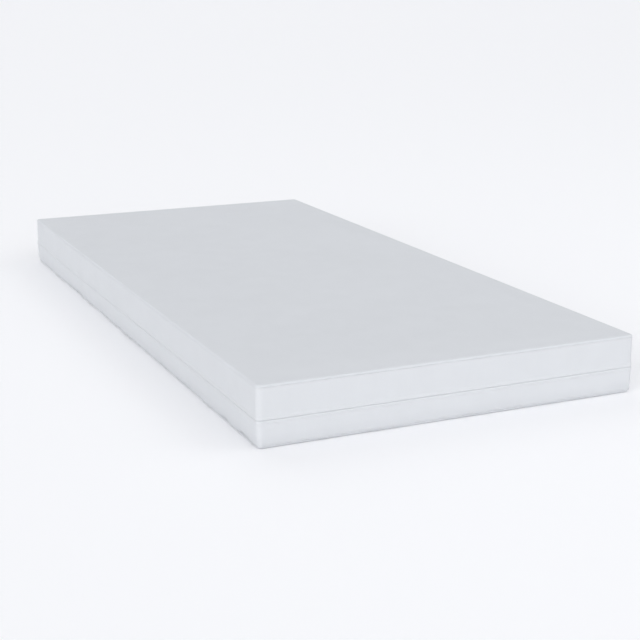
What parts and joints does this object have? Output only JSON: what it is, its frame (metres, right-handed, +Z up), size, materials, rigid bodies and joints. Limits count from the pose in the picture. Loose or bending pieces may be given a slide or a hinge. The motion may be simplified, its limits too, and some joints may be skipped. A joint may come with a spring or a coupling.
{
  "type": "memory foam mattress",
  "caption": "Plain single mattress: layered foam core in a smooth knitted cover, its halves joined by a concealed zip round the sides.",
  "frame": {"origin": "on the floor, under the centre of the mattress", "axes": "+X across the width, +Y along the length, +Z up; the zip starts and ends near the rear corner of the +X side"},
  "size_m": [0.905, 1.9001, 0.134],
  "materials": {
    "cover_top_cloth": "soft matt knit, pale cool white",
    "cover_side_cloth": "soft matt knit, pale cool white",
    "base_cloth": "matt spunbond fabric, point-bonded",
    "thread": "spun polyester sewing thread",
    "zip_tape": "woven polyester tape",
    "zip_coil": "moulded nylon coil, satin",
    "zip_metal": "plated die-cast metal, satin",
    "memory_foam": "open-cell viscoelastic foam, cream",
    "transition_foam": "open-cell foam, pale blue",
    "support_foam": "open-cell firm foam, white",
    "label": "blank woven satin label"
  },
  "bodies": {
    "core_and_base": {"lower_border": "cover_side_cloth", "base_panel": "base_cloth", "base_seam_thread": "thread", "lower_zip_tape": "zip_tape", "lower_zip_coil": "zip_coil", "lower_stop_closed_end": "zip_metal", "lower_stop_open_end": "zip_metal", "care_label": "label", "memory_foam_layer": "memory_foam", "transition_foam_layer": "transition_foam", "support_foam_layer": "support_foam"},
    "cover_top": {"top_panel": "cover_top_cloth", "upper_border": "cover_side_cloth", "top_seam_thread": "thread", "upper_zip_tape": "zip_tape", "upper_zip_coil": "zip_coil", "upper_stop_closed_end": "zip_metal", "upper_stop_open_end": "zip_metal", "zip_end_patch": "cover_side_cloth"},
    "slider": {"zip_slider": "zip_metal"},
    "tab": {"pull_tab": "zip_metal"}
  },
  "joints": [
    {"name": "cover_lift", "type": "slide", "parent": "core_and_base", "child": "cover_top", "axis": [0, 0, 1], "range_m": [0, 0.25]},
    {"name": "zip_slide", "type": "slide", "parent": "core_and_base", "child": "slider", "axis": [0, -1, 0], "range_m": [0, 1.76]},
    {"name": "tab_swing", "type": "hinge", "parent": "slider", "child": "tab", "pos_m": [0.4529, 0.882, 0.06], "axis": [0, 0, -1], "range_deg": [0, 180]}
  ]
}
